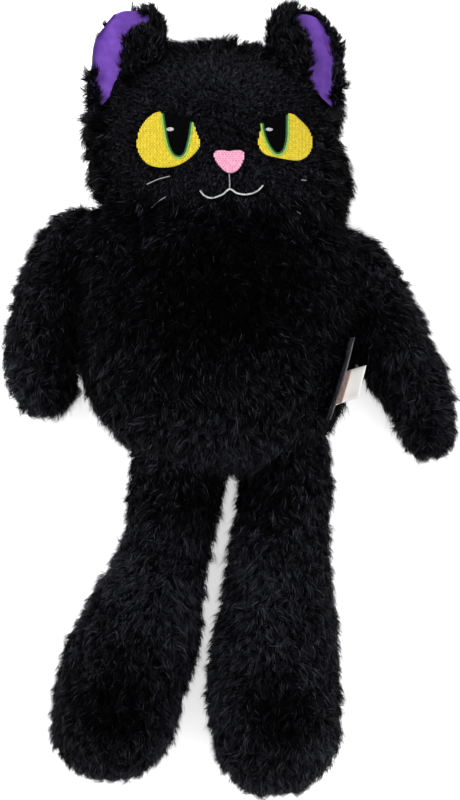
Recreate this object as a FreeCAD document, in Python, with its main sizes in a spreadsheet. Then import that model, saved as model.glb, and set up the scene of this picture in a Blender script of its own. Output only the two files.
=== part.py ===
import FreeCAD, Part
import math
import os
import Sketcher

# A long-legged plush cat that lies on its back, in millimetres. +X is the cat's left,
# +Y runs from the feet to the ears, +Z comes out of the chest. The origin is the middle
# of the flat patch on which the torso's back rests.
# Every stuffed piece is a thin plush backing in two panels round a filling. Each limb
# starts as a ball in a socket, and a thin seam ring turns between the two.

V = FreeCAD.Vector
doc = FreeCAD.newDocument("plush_cat")
sheet = doc.addObject("Spreadsheet::Sheet", "Sizes")

DRIVING = {
    "axis": 0,
    "wall": 1.2,
    "ease": 0.2,
    "ring_ease": 0.4,
    "ring_thick": 0.8,
    "ring_low_angle": 50,
    "ring_high_angle": 70,
    "waist_angle": 50,
    "torso_radius": 71,
    "torso_rim": 30,
    "torso_half": 44,
    "torso_mid": 42,
    "head_width": 142,
    "head_radius": 46,
    "head_corner": 34,
    "head_x": -1.4,
    "head_y": 122.5,
    "head_z": 46.4,
    "neck_ball": 20,
    "neck_y": 73,
    "neck_z": 42,
    "arm_ball": 15,
    "arm_flare_radius": 17.5,
    "arm_flare_at": 24,
    "arm_tip": 17.5,
    "leg_ball": 18,
    "leg_flare_radius": 25,
    "leg_flare_at": 50,
    "leg_tip": 35.5,
    "shoulder_root": 18,
    "shoulder_end": 11,
    "shoulder_x": 29,
    "stitch": 1.2,
    "stitch_gap": 0.1,
    "ear_width": 48,
    "ear_height": 46,
    "ear_round": 13,
    "ear_dome": 34,
    "ear_plush": 2.5,
    "ear_minky": 1.0,
    "ear_depth": 40,
    "closing_length": 24,
    "closing_width": 1.2,
    "closing_x": 10,
    "label_reach": 16,
    "label_width": 17,
    "label_thick": 0.4,
    "tag_length": 49,
    "tag_width": 22,
    "tag_thick": 0.9,
}

# Each limb: its joint's centre, then the centre of the ball that ends its hand or foot.
LIMBS = {
    "right_arm": (V(-77, 57, 24), V(-100, -22, 17.9)),
    "left_arm": (V(82, 53, 24), V(118, -44, 17.9)),
    "right_leg": (V(-25, -77, 30), V(-60, -213, 35.9)),
    "left_leg": (V(37, -76, 30), V(31, -219, 35.9)),
}


def add_cells(cells):
    """Adds named cells to the sheet: plain numbers, or formulas of other cells."""
    first = add_cells.next_row
    for row, (name, content) in enumerate(cells.items(), first):
        sheet.set(f"A{row}", name)
        sheet.set(f"B{row}", str(content))
        sheet.setAlias(f"B{row}", name)
    add_cells.next_row = first + len(cells)
    doc.recompute()


add_cells.next_row = 1


def size(name):
    return float(sheet.get(name))


def torso_cells(layer, inset):
    """The torso's outline at one depth under its surface: a large arc over the belly and
    another over the back, each running smoothly into the small arc of the rim."""
    return {
        f"torso_{layer}_patch": f"=sqrt((torso_dome - {inset}) ^ 2 - (torso_low_centre - {inset}) ^ 2)",
        f"torso_{layer}_floor": f"={inset}",
        f"torso_{layer}_bend": f"=torso_core + (torso_rim - {inset}) * torso_core / (torso_dome - torso_rim)",
        f"torso_{layer}_rise": f"=(torso_rim - {inset}) * (torso_dome - torso_half) / (torso_dome - torso_rim)",
        f"torso_{layer}_bend_low": f"=torso_mid - torso_{layer}_rise",
        f"torso_{layer}_bend_high": f"=torso_mid + torso_{layer}_rise",
        f"torso_{layer}_side": f"=torso_radius - {inset}",
        f"torso_{layer}_top": f"=torso_mid + torso_half - {inset}",
    }


def head_cells(layer, inset):
    """The head's outline at one depth: a cushion along its own axis with rounded corners."""
    return {
        f"head_{layer}_radius": f"=head_radius - {inset}",
        f"head_{layer}_end": f"=head_width / 2 - {inset}",
        f"head_{layer}_start": f"=-head_{layer}_end",
    }


def limb_cells(limb, layer, inset):
    """A limb's outline at one depth: ball, waist, flared shaft and round tip."""
    kind = limb.split("_")[1]
    return {
        f"{limb}_{layer}_root": f"={inset} - {kind}_ball",
        f"{limb}_{layer}_waist_out": f"=({kind}_ball - {inset}) * sin(waist_angle * 1 deg)",
        f"{limb}_{layer}_waist_at": f"=({kind}_ball - {inset}) * cos(waist_angle * 1 deg)",
        f"{limb}_{layer}_flare": f"={kind}_flare_radius - {inset}",
        f"{limb}_{layer}_tip": f"={kind}_tip - {inset}",
        f"{limb}_{layer}_end": f"={limb}_length + {kind}_tip - {inset}",
    }


LAYERS = {"outer": "0", "lining": "wall", "filling": "(wall + ease)"}
TORSO_LAYERS = {**LAYERS, "clear": "(0 - ease)"}
HEAD_LAYERS = {**LAYERS, "skin": "(0 - ease)", "thread": "(0 - ease - stitch)", "clear": "(0 - 2)"}
add_cells(DRIVING)
add_cells({
    "torso_core": "=torso_radius - torso_rim",
    "torso_dome": "=(torso_core ^ 2 + torso_half ^ 2 - torso_rim ^ 2) / (2 * (torso_half - torso_rim))",
    "torso_low_centre": "=torso_mid - torso_half + torso_dome",
    "torso_high_centre": "=torso_mid + torso_half - torso_dome",
    "head_core": "=head_radius - head_corner",
    "head_straight": "=head_width / 2 - head_corner",
    "head_straight_start": "=-head_straight",
    "ring_inner": "=ring_ease",
    "ring_outer": "=ring_ease + ring_thick",
    "socket_ease": "=2 * ring_ease + ring_thick",
    "ear_half": "=ear_width / 2",
    "ear_half_back": "=-ear_width / 2",
    "ear_peak": "=ear_height + ear_round",
})
for limb, (pivot, tip) in LIMBS.items():
    add_cells({f"{limb}_length": f"{(tip - pivot).Length:.3f}"})
for layer, inset in TORSO_LAYERS.items():
    add_cells(torso_cells(layer, inset))
for layer, inset in LAYERS.items():
    for limb in LIMBS:
        add_cells(limb_cells(limb, layer, inset))
for layer, inset in HEAD_LAYERS.items():
    add_cells(head_cells(layer, inset))


def bind(thing, **expressions):
    """Ties properties to formulas of the sheet's cells."""
    for prop, formula in expressions.items():
        thing.setExpression(prop, formula)
    return thing


def pin(sketch, kind, element, vertex, cell):
    """Holds one coordinate of a sketch point at a cell's value."""
    index = sketch.addConstraint(Sketcher.Constraint(kind, -1, 1, element, vertex, size(cell)))
    sketch.setExpression(f"Constraints[{index}]", f"Sizes.{cell}")


def add_edge(sketch, start, end, centre):
    """Adds a line, or an arc about a centre, and says which of its vertices is which."""
    if centre is None:
        return sketch.addGeometry(Part.LineSegment(start, end)), 1, 2
    turns_left = (start - centre).cross(end - centre).z > 0
    first, last = (start, end) if turns_left else (end, start)
    angles = [math.atan2((point - centre).y, (point - centre).x) for point in (first, last)]
    circle = Part.Circle(centre, V(0, 0, 1), (start - centre).Length)
    edge = sketch.addGeometry(Part.ArcOfCircle(circle, *angles))
    return (edge, 1, 2) if turns_left else (edge, 2, 1)


def draw_loop(sketch, corners):
    """Draws a closed outline. A corner is (across, up) or, where an arc leads on from it,
    (across, up, centre across, centre up), all of them names of cells."""
    points = [V(size(corner[0]), size(corner[1]), 0) for corner in corners]
    edges = []
    for index, corner in enumerate(corners):
        start = points[index]
        end = points[(index + 1) % len(points)]
        centre = V(size(corner[2]), size(corner[3]), 0) if len(corner) == 4 else None
        edges.append(add_edge(sketch, start, end, centre))
    for index, corner in enumerate(corners):
        edge, begin, finish = edges[index]
        next_edge, next_begin, _ = edges[(index + 1) % len(edges)]
        sketch.addConstraint(Sketcher.Constraint("Coincident", edge, finish, next_edge, next_begin))
        pin(sketch, "DistanceX", edge, begin, corner[0])
        pin(sketch, "DistanceY", edge, begin, corner[1])
        if len(corner) == 4:
            chord = points[(index + 1) % len(points)] - points[index]
            upright = abs(chord.y) > abs(chord.x)
            pin(sketch, "DistanceX" if upright else "DistanceY", edge, 3, corner[2 if upright else 3])


def new_sketch(body, role):
    """A sketch on one of the body's own origin planes."""
    sketch = body.newObject("Sketcher::SketchObject", body.Name + "_outline")
    plane = next(item for item in body.Origin.OriginFeatures if item.Role == role)
    sketch.AttachmentSupport = (plane, "")
    sketch.MapMode = "FlatFace"
    return sketch


def revolve(label, corners, angle=360, reverse=False):
    """A body turned about its own Z axis from an outline in its XZ plane."""
    body = doc.addObject("PartDesign::Body", label)
    sketch = new_sketch(body, "XZ_Plane")
    draw_loop(sketch, corners)
    turned = body.newObject("PartDesign::Revolution", label + "_turned")
    turned.Profile = sketch
    turned.ReferenceAxis = (sketch, ["V_Axis"])
    turned.Angle = angle
    turned.Reversed = reverse
    sketch.Visibility = False
    return body


def boolean(kind, label, *things):
    """A Part boolean: kind is Cut, Common or MultiFuse."""
    result = doc.addObject(f"Part::{kind}", label)
    if kind == "MultiFuse":
        result.Shapes = list(things)
    else:
        result.Base, result.Tool = things
    return result


def cut_all(label, base, tools):
    """The base with every tool cut out of it."""
    for index, tool in enumerate(tools):
        base = boolean("Cut", label if index == len(tools) - 1 else f"{label}_cut_{index}", base, tool)
    return base


def sphere(label, centre, radius):
    ball = bind(doc.addObject("Part::Sphere", label), Radius=radius)
    ball.Placement.Base = centre
    return ball


def facing(direction):
    """The turn that takes +Z to the given direction."""
    return FreeCAD.Rotation(V(0, 0, 1), direction)


def torso_half_wall(side):
    """The corners of the backing above or below the side seam."""
    low = side == "back"
    bend = "bend_low" if low else "bend_high"
    centre = "torso_low_centre" if low else "torso_high_centre"
    rim = ("torso_core", "torso_mid")
    outer = [("torso_outer_side", "torso_mid", *rim), ("torso_outer_bend", f"torso_outer_{bend}", "axis", centre)]
    lining = [(f"torso_lining_bend", f"torso_lining_{bend}", *rim), ("torso_lining_side", "torso_mid")]
    if not low:
        return outer + [("axis", "torso_outer_top"), ("axis", "torso_lining_top", "axis", centre)] + lining
    outer += [("torso_outer_patch", "torso_outer_floor"), ("axis", "torso_outer_floor")]
    return outer + [("axis", "torso_lining_floor"), ("torso_lining_patch", "torso_lining_floor", "axis", centre)] + lining


def torso_whole(layer):
    """The corners of the torso's whole outline at one depth."""
    return [
        ("axis", f"torso_{layer}_floor"),
        (f"torso_{layer}_patch", f"torso_{layer}_floor", "axis", "torso_low_centre"),
        (f"torso_{layer}_bend", f"torso_{layer}_bend_low", "torso_core", "torso_mid"),
        (f"torso_{layer}_bend", f"torso_{layer}_bend_high", "axis", "torso_high_centre"),
        ("axis", f"torso_{layer}_top"),
    ]


def head_side(layer):
    """The corners of the head's outline from one end of its axis to the other."""
    return [
        ("axis", f"head_{layer}_start"),
        ("head_core", f"head_{layer}_start", "head_core", "head_straight_start"),
        (f"head_{layer}_radius", "head_straight_start"),
        (f"head_{layer}_radius", "head_straight", "head_core", "head_straight"),
        ("head_core", f"head_{layer}_end"),
        ("axis", f"head_{layer}_end"),
    ]


def limb_side(limb, layer):
    """The corners of a limb's outline from the root to the tip."""
    kind = limb.split("_")[1]
    return [
        ("axis", f"{limb}_{layer}_root", "axis", "axis"),
        (f"{limb}_{layer}_waist_out", f"{limb}_{layer}_waist_at"),
        (f"{limb}_{layer}_flare", f"{kind}_flare_at"),
        (f"{limb}_{layer}_tip", f"{limb}_length", "axis", f"{limb}_length"),
        ("axis", f"{limb}_{layer}_end"),
    ]


def wall_between(outer, inner):
    """The closed outline of a wall: out along one side and back along the other."""
    back = []
    arcs = [corner[2:] for corner in inner]
    for index in range(len(inner) - 1, -1, -1):
        leads = arcs[index - 1] if index else ()
        back.append((*inner[index][:2], *leads))
    return outer + back


def limb_placement(limb):
    """Local Z along the limb, local Y towards the front."""
    pivot, tip = LIMBS[limb]
    along = (tip - pivot).normalize()
    return FreeCAD.Placement(pivot, FreeCAD.Rotation(V(), V(0, 0, 1), along, "ZYX"))


PARTS = []


def keep(label, thing):
    """Marks an object as a finished piece."""
    thing.Label = label
    PARTS.append(thing)
    return thing


def seam_ring(label, centre, ball, direction):
    """The ring of stitches and seam allowance between a ball and its socket."""
    zone = bind(doc.addObject("Part::Sphere", label + "_zone"), Radius=f"Sizes.{ball} + Sizes.ring_outer")
    bind(zone, Angle1="Sizes.ring_low_angle", Angle2="Sizes.ring_high_angle")
    zone.Placement = FreeCAD.Placement(centre, facing(direction))
    core = sphere(label + "_core", centre, f"Sizes.{ball} + Sizes.ring_inner")
    return keep(label, boolean("Cut", label, zone, core))


# The balls' centres and the way from each into the torso.
NECK = V(0, size("neck_y"), size("neck_z"))
SOCKETS = {
    "neck": (NECK, "neck_ball", V(0, -1, 0)),
    "right_hip": (LIMBS["right_leg"][0], "leg_ball", V(0, 1, 0)),
    "left_hip": (LIMBS["left_leg"][0], "leg_ball", V(0, 1, 0)),
    "right_shoulder": (LIMBS["right_arm"][0], "arm_ball", V(1, 0, 0)),
    "left_shoulder": (LIMBS["left_arm"][0], "arm_ball", V(-1, 0, 0)),
}


def sockets(prefix, extra="0"):
    """One ball-shaped cutter for each socket, larger by the given amount."""
    return [
        sphere(f"{prefix}_{name}", centre, f"Sizes.{ball} + Sizes.socket_ease + {extra}")
        for name, (centre, ball, _) in SOCKETS.items()
    ]


def build_gusset(side, torso_clear, socket):
    """The cone of backing, sewn to the torso, that carries the shoulder's socket."""
    pivot, _, inward = SOCKETS[f"{side}_shoulder"]
    cone = doc.addObject("Part::Cone", f"{side}_shoulder_cone")
    bind(cone, Radius1="Sizes.shoulder_root", Radius2="Sizes.shoulder_end")
    bind(cone, Height=f"{abs(pivot.x)} - Sizes.shoulder_x - Sizes.arm_ball / 2")
    root = V(-inward.x * size("shoulder_x"), pivot.y, pivot.z)
    cone.Placement = FreeCAD.Placement(root, facing(inward * -1))
    keep(f"{side}_shoulder_gusset", cut_all(f"{side}_shoulder_gusset", cone, [torso_clear, socket]))


def build_torso():
    """Front panel, back panel, shoulder gussets, filling and the closing seam."""
    hollows = sockets("socket")
    front = revolve("torso_front_wall", torso_half_wall("front"))
    keep("torso_front_panel", cut_all("torso_front_panel", front, hollows[:3]))
    back = revolve("torso_back_wall", torso_half_wall("back"))
    slot = doc.addObject("Part::Box", "closing_slot")
    bind(slot, Length="Sizes.closing_width + 2 * Sizes.ease", Width="Sizes.closing_length + 2 * Sizes.ease")
    bind(slot, Height="2 * Sizes.wall")
    slot.Placement.Base = V(size("closing_x") - size("ease"), -size("closing_length") / 2 - size("ease"), -1)
    keep("torso_back_panel", cut_all("torso_back_panel", back, [slot] + hollows[:3]))
    torso_clear = revolve("torso_clear", torso_whole("clear"))
    build_gusset("right", torso_clear, hollows[3])
    build_gusset("left", torso_clear, hollows[4])
    filling = revolve("torso_filling", torso_whole("filling"))
    keep("torso_stuffing", cut_all("torso_stuffing", filling, sockets("deep_socket", "Sizes.ease")[:3]))
    thread = bind(doc.addObject("Part::Box", "closing_seam"), Length="Sizes.closing_width")
    bind(thread, Width="Sizes.closing_length", Height="Sizes.wall - 2 * Sizes.ease")
    thread.Placement.Base = V(size("closing_x"), -size("closing_length") / 2, size("ease"))
    keep("closing_seam", thread)


HEAD_PLACEMENT = FreeCAD.Placement(
    V(size("head_x"), size("head_y"), size("head_z")),
    FreeCAD.Rotation(V(), V(0, 0, 1), V(1, 0, 0), "ZYX"),
)


def head_solid(layer):
    """The head's whole shape at one depth."""
    body = revolve(f"head_{layer}_solid", head_side(layer))
    body.Placement = HEAD_PLACEMENT
    return body


def build_head():
    """Front panel, back panel and filling of the head, and the stuffed neck below it."""
    wall = wall_between(head_side("outer"), head_side("lining"))
    for label, reverse in (("head_front_panel", False), ("head_back_panel", True)):
        panel = revolve(label, wall, 180, reverse)
        panel.Placement = HEAD_PLACEMENT
        keep(label, panel)
    filling = revolve("head_stuffing", head_side("filling"))
    filling.Placement = HEAD_PLACEMENT
    keep("head_stuffing", filling)
    ball = sphere("neck_ball", NECK, "Sizes.neck_ball")
    keep("neck_stuffing", boolean("Cut", "neck_stuffing", ball, head_solid("skin")))
    seam_ring("neck_seam", *SOCKETS["neck"])


def build_limb(limb, joint):
    """Front panel, back panel and filling of an arm or leg, and its seam ring."""
    wall = wall_between(limb_side(limb, "outer"), limb_side(limb, "lining"))
    for name, reverse in (("front_panel", False), ("back_panel", True)):
        panel = revolve(f"{limb}_{name}", wall, 180, reverse)
        panel.Placement = limb_placement(limb)
        keep(f"{limb}_{name}", panel)
    filling = revolve(f"{limb}_stuffing", limb_side(limb, "filling"))
    filling.Placement = limb_placement(limb)
    keep(f"{limb}_stuffing", filling)
    seam_ring(f"{joint}_seam", *SOCKETS[joint])


# The upright tools that cut the face's outlines start here and are this tall.
FACE_LOW = 50
FACE_HIGH = 50


def pillar(label, x, y, radius):
    """An upright round tool through the face."""
    tool = bind(doc.addObject("Part::Cylinder", label), Radius=radius)
    tool.Height = FACE_HIGH
    tool.Placement.Base = V(x, y, FACE_LOW)
    return tool


def slab(label, x, y, width, height, angle=0):
    """An upright box through the face, centred on x and y."""
    tool = doc.addObject("Part::Box", label)
    tool.Length = width
    tool.Width = height
    tool.Height = FACE_HIGH
    turn = FreeCAD.Rotation(V(0, 0, 1), angle)
    tool.Placement = FreeCAD.Placement(V(x, y, FACE_LOW) - turn.multVec(V(width / 2, height / 2, 0)), turn)
    return tool


def pupil_tool(label, x, y, radius, grow):
    """The pupil's round-bottomed outline, grown by some amount."""
    reach = 30
    end = pillar(label + "_end", x, y, f"{radius} + {grow}")
    column = slab(label + "_column", x, y + reach / 2, 2 * (radius + grow), reach)
    return boolean("MultiFuse", label, end, column)


def stitched(label, tool, thread):
    """The part of the thread layer that stands in an outline."""
    return keep(label, boolean("Common", label, tool, thread))


# Each eye: its centre, its radius, the lid's height above the centre and slant, the
# pupil's lower centre and radius, and the glint's centre.
EYES = {
    "right": {"eye": (-26.6, 116.1, 18.2), "lid": (11.9, 6), "pupil": (-22.5, 110.2, 6.3), "glint": (-26, 118.5)},
    "left": {"eye": (36.3, 117.5, 15.8), "lid": (9.3, -6), "pupil": (31, 111.7, 6.2), "glint": (27.5, 118.5)},
}
RIM = 1.4
GLINT = (3.8, 2.6)
LID = (60, 30)


def build_eye(side, thread):
    """Iris, rim, pupil and glint, side by side in the thread layer."""
    x, y, radius = EYES[side]["eye"]
    rise, slant = EYES[side]["lid"]
    pupil = EYES[side]["pupil"]
    glint = EYES[side]["glint"]
    gap = size("stitch_gap")
    name = f"{side}_eye"
    lid = slab(f"{name}_lid", x, y + rise + LID[1] / 2, *LID, slant)
    disc = boolean("Cut", f"{name}_disc", pillar(f"{name}_round", x, y, f"{radius}"), lid)
    rim_hole = pupil_tool(f"{name}_rim_hole", *pupil, RIM + gap)
    stitched(f"{name}_iris", boolean("Cut", f"{name}_iris_tool", disc, rim_hole), thread)
    rim = boolean("Common", f"{name}_rim_whole", disc, pupil_tool(f"{name}_rim_outline", *pupil, RIM))
    pupil_hole = pupil_tool(f"{name}_pupil_hole", *pupil, gap)
    stitched(f"{name}_rim", boolean("Cut", f"{name}_rim_tool", rim, pupil_hole), thread)
    dark = boolean("Common", f"{name}_pupil_whole", disc, pupil_tool(f"{name}_pupil_outline", *pupil, 0))
    glint_hole = slab(f"{name}_glint_hole", *glint, GLINT[0] + 2 * gap, GLINT[1] + 2 * gap)
    stitched(f"{name}_pupil", boolean("Cut", f"{name}_pupil_tool", dark, glint_hole), thread)
    stitched(f"{name}_glint", slab(f"{name}_glint_tool", *glint, *GLINT), thread)


NOSE = {"x": 6, "top": 107.6, "tip": 94, "half_width": 8.6, "corner": 3.5}
THREAD_WIDTH = 1.6
STEM = (6.2, 89.9, 1.6, 7.4)
# Each half of the mouth: its arc's centre, radius, first angle and sweep.
MOUTH = {"right": (-2.2, 94.3, 12.4, 226, 88), "left": (15.9, 99.1, 16, 233, 84)}
# Each whisker: its middle, length and slant.
WHISKERS = {
    "right": ((-33.2, 91.2, 15, 18), (-33.2, 80.8, 11, 34)),
    "left": ((45.2, 90.4, 14, -10), (44.2, 82, 11, -32)),
}


def build_nose(thread):
    """The nose: an upside-down triangle with round corners."""
    corners = [
        (NOSE["x"] + side * (NOSE["half_width"] - NOSE["corner"]), NOSE["top"] - NOSE["corner"])
        for side in (-1, 1)
    ] + [(NOSE["x"], NOSE["tip"] + NOSE["corner"])]
    outline = Part.makePolygon([V(x, y, FACE_LOW) for x, y in corners + corners[:1]])
    grown = outline.makeOffset2D(NOSE["corner"])
    tool = doc.addObject("Part::Feature", "nose_tool")
    tool.Shape = Part.Face(grown).extrude(V(0, 0, FACE_HIGH))
    stitched("nose_embroidery", tool, thread)


def build_mouth(thread):
    """The stem below the nose and the two curves of the mouth, in one line of thread."""
    lines = [slab("mouth_stem", *STEM)]
    for side, (x, y, radius, start, sweep) in MOUTH.items():
        outer = pillar(f"{side}_mouth_outer", x, y, f"{radius + THREAD_WIDTH / 2}")
        outer.Angle = sweep
        outer.Placement.Rotation = FreeCAD.Rotation(V(0, 0, 1), start)
        inner = pillar(f"{side}_mouth_inner", x, y, f"{radius - THREAD_WIDTH / 2}")
        lines.append(boolean("Cut", f"{side}_mouth_line", outer, inner))
    stitched("mouth_stitching", boolean("MultiFuse", "mouth_lines", *lines), thread)


def build_whiskers(side, thread):
    lines = [
        slab(f"{side}_whisker_{index}", x, y, length, 1, slant)
        for index, (x, y, length, slant) in enumerate(WHISKERS[side])
    ]
    stitched(f"{side}_whiskers", boolean("MultiFuse", f"{side}_whisker_lines", *lines), thread)


def build_face():
    """Everything embroidered: pieces of one thin layer over the head's front."""
    thread = boolean("Cut", "thread_layer", head_solid("thread"), doc.getObject("head_skin_solid"))
    for side in EYES:
        build_eye(side, thread)
        build_whiskers(side, thread)
    build_nose(thread)
    build_mouth(thread)


# Each ear: the middle of its base, its upward and its opening direction.
EARS = {
    "right": (V(-54, 147, 44), V(-0.1, 1, -0.05), V(-0.62, 0, 0.78)),
    "left": (V(50, 147, 44), V(0.1, 1, -0.05), V(0.62, 0, 0.78)),
}


def ear_outline(label):
    """A prism with the ear's outline: a triangle with a broad round tip."""
    body = doc.addObject("PartDesign::Body", label)
    sketch = new_sketch(body, "XY_Plane")
    draw_loop(sketch, [("ear_half_back", "axis"), ("ear_half", "axis"), ("axis", "ear_peak")])
    pad = body.newObject("PartDesign::Pad", label + "_pad")
    pad.Profile = sketch
    pad.Midplane = True
    bind(pad, Length="Sizes.ear_depth")
    doc.recompute()
    upright = [
        f"Edge{index}"
        for index, edge in enumerate(pad.Shape.Edges, 1)
        if abs(edge.tangentAt(edge.FirstParameter).z) > 0.99
    ]
    rounded = body.newObject("PartDesign::Fillet", label + "_rounded")
    rounded.Base = (pad, upright)
    bind(rounded, Radius="Sizes.ear_round")
    return body


def build_ear(side, head_clear):
    """A cup cut from a hollow ball: the plush back, and the smooth lining inside it."""
    base, up, opening = EARS[side]
    placement = FreeCAD.Placement(base, FreeCAD.Rotation(V(), up, opening, "ZYX"))
    outline = ear_outline(f"{side}_ear_outline")
    outline.Placement = placement
    centre = placement.multVec(V(0, size("ear_height") / 2, size("ear_dome") - 6))
    depth = "Sizes.ear_dome"
    for layer, thick in (("back", "Sizes.ear_plush"), ("lining", "Sizes.ear_minky")):
        name = f"{side}_ear_{layer}"
        outer = sphere(f"{name}_outer", centre, depth)
        inner = sphere(f"{name}_inner", centre, f"{depth} - {thick}")
        shell = boolean("Cut", f"{name}_shell", outer, inner)
        cup = boolean("Common", f"{name}_cup", shell, outline)
        keep(name, boolean("Cut", name, cup, head_clear))
        depth = f"{depth} - {thick} - Sizes.ease"


# Where the inner lower corner of each tag stands, and its turn from the X or Y axis.
CARE_LABEL = (V(67, -33, 40), -17)
SIDE_TAG = (V(64.3, -44, 44), -11)


def build_tags():
    """The care label and the narrow tag, sewn in the side seam on the cat's left."""
    label = bind(doc.addObject("Part::Box", "care_label"), Length="Sizes.label_reach")
    bind(label, Width="Sizes.label_width", Height="Sizes.label_thick")
    label.Placement = FreeCAD.Placement(CARE_LABEL[0], FreeCAD.Rotation(V(0, 0, 1), CARE_LABEL[1]))
    keep("care_label", label)
    tag = bind(doc.addObject("Part::Box", "side_tag"), Length="Sizes.tag_thick")
    bind(tag, Width="Sizes.tag_length", Height="Sizes.tag_width")
    tag.Placement = FreeCAD.Placement(SIDE_TAG[0], FreeCAD.Rotation(V(0, 0, 1), SIDE_TAG[1]))
    keep("side_tag", tag)


build_torso()
build_head()
for limb, joint in zip(LIMBS, ("right_shoulder", "left_shoulder", "right_hip", "left_hip")):
    build_limb(limb, joint)
build_face()
head_clear = head_solid("clear")
for side in EARS:
    build_ear(side, head_clear)
build_tags()
doc.recompute()

failed = [item.Name for item in doc.Objects if {"Invalid", "Error"} & set(item.State)]
broken = [part.Label for part in PARTS if part.Shape.isNull() or not part.Shape.isValid()]
empty = [part.Label for part in PARTS if not part.Shape.Solids]
if failed or broken or empty:
    raise SystemExit(f"failed {failed}, broken {broken}, empty {empty}")

os.makedirs("parts", exist_ok=True)
for part in PARTS:
    part.Shape.exportStep(f"parts/{part.Label}.step")
    box = part.Shape.BoundBox
    print(f"{part.Label}: {len(part.Shape.Solids)} solid, {part.Shape.Volume:.0f} mm3, "
          f"z {box.ZMin:.1f} to {box.ZMax:.1f}")
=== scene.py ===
"""A long-legged black plush cat lying on its back. +X is the cat's left, +Y the head, +Z up.

Lengths are in millimetres until they reach a mesh, which is in metres."""
import math

import bmesh
import bpy
import numpy as np
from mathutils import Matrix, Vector
from mathutils.bvhtree import BVHTree
from mathutils.kdtree import KDTree


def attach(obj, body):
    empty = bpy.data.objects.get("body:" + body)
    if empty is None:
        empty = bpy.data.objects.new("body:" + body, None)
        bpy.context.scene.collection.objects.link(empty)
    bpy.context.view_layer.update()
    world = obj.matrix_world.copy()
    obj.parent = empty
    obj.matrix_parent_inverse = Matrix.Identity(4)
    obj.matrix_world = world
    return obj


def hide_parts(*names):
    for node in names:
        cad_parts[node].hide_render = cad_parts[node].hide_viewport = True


MM = 0.001
FLOOR_GAP = 0.4

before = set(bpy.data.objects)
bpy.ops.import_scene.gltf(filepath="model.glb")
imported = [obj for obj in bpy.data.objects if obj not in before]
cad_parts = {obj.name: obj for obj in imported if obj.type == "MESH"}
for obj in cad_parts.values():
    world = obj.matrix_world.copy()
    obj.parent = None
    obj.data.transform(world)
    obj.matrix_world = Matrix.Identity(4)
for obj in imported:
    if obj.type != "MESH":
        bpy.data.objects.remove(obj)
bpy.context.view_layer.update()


# ---------------------------------------------------------------- small tools

def new_object(name, points, faces, made):
    """A smooth mesh object of one material, from points in millimetres."""
    mesh = bpy.data.meshes.new(name)
    mesh.from_pydata([tuple(p) for p in np.asarray(points, float) * MM], [], faces)
    mesh.polygons.foreach_set("use_smooth", np.ones(len(mesh.polygons), bool))
    mesh.materials.append(made)
    obj = bpy.data.objects.new(name, mesh)
    bpy.context.scene.collection.objects.link(obj)
    return obj


def fast_object(name, points, corners, sizes, materials, slots):
    """A large flat-shaded mesh from arrays: points in millimetres, corner indices, face sizes
    and each face's material slot."""
    mesh = bpy.data.meshes.new(name)
    mesh.vertices.add(len(points))
    mesh.vertices.foreach_set("co", (np.asarray(points) * MM).astype(np.float32).ravel())
    mesh.loops.add(len(corners))
    mesh.loops.foreach_set("vertex_index", np.asarray(corners, np.int32))
    mesh.polygons.add(len(sizes))
    starts = np.concatenate([[0], np.cumsum(sizes)[:-1]]).astype(np.int32)
    mesh.polygons.foreach_set("loop_start", starts)
    for made in materials:
        mesh.materials.append(made)
    mesh.polygons.foreach_set("material_index", np.asarray(slots, np.int32))
    mesh.polygons.foreach_set("use_smooth", np.zeros(len(sizes), bool))
    mesh.update(calc_edges=True)
    obj = bpy.data.objects.new(name, mesh)
    bpy.context.scene.collection.objects.link(obj)
    return obj


def vertex_array(obj):
    """An object's points in millimetres."""
    flat = np.empty(len(obj.data.vertices) * 3, np.float32)
    obj.data.vertices.foreach_get("co", flat)
    return flat.reshape(-1, 3).astype(float) / MM


def normal_array(obj):
    """An object's point normals."""
    flat = np.empty(len(obj.data.vertices) * 3, np.float32)
    obj.data.vertices.foreach_get("normal", flat)
    return flat.reshape(-1, 3).astype(float)


def unit(vectors):
    """Vectors brought to length 1."""
    vectors = np.asarray(vectors, float)
    return vectors / np.maximum(np.linalg.norm(vectors, axis=-1, keepdims=True), 1e-9)


def smooth_curve(points, steps, closed=False):
    """A Catmull-Rom curve through given points."""
    points = np.asarray(points, float)
    count = len(points)
    out = []
    for index in range(count if closed else count - 1):
        if closed:
            quad = [points[(index + k) % count] for k in (-1, 0, 1, 2)]
        else:
            quad = [points[min(max(index + k, 0), count - 1)] for k in (-1, 0, 1, 2)]
        a, b, c, d = quad
        for t in np.arange(steps) / steps:
            out.append(0.5 * (2 * b + (c - a) * t + (2 * a - 5 * b + 4 * c - d) * t ** 2
                              + (3 * b - a - 3 * c + d) * t ** 3))
    if not closed:
        out.append(points[-1])
    return np.array(out)


def inside(outline, x, y):
    """Whether each point lies inside a closed outline."""
    result = np.zeros(np.shape(x), bool)
    for (x0, y0), (x1, y1) in zip(outline, np.roll(outline, -1, axis=0)):
        if y0 == y1:
            continue
        crosses = (y0 > y) != (y1 > y)
        result ^= crosses & (x < (x1 - x0) * (y - y0) / (y1 - y0) + x0)
    return result


def distance(outline, x, y, closed=True):
    """How far each point lies from an outline."""
    best = np.full(np.shape(x), 1e9)
    ends = np.roll(outline, -1, axis=0) if closed else outline[1:]
    for (x0, y0), (x1, y1) in zip(outline, ends):
        along = np.array([x1 - x0, y1 - y0])
        length = max(along @ along, 1e-9)
        t = np.clip(((x - x0) * along[0] + (y - y0) * along[1]) / length, 0, 1)
        best = np.minimum(best, np.hypot(x - x0 - t * along[0], y - y0 - t * along[1]))
    return best


def outside(outline, x, y):
    """How far each point lies outside a closed outline: 0 inside it."""
    return np.where(inside(outline, x, y), 0, distance(outline, x, y))


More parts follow.
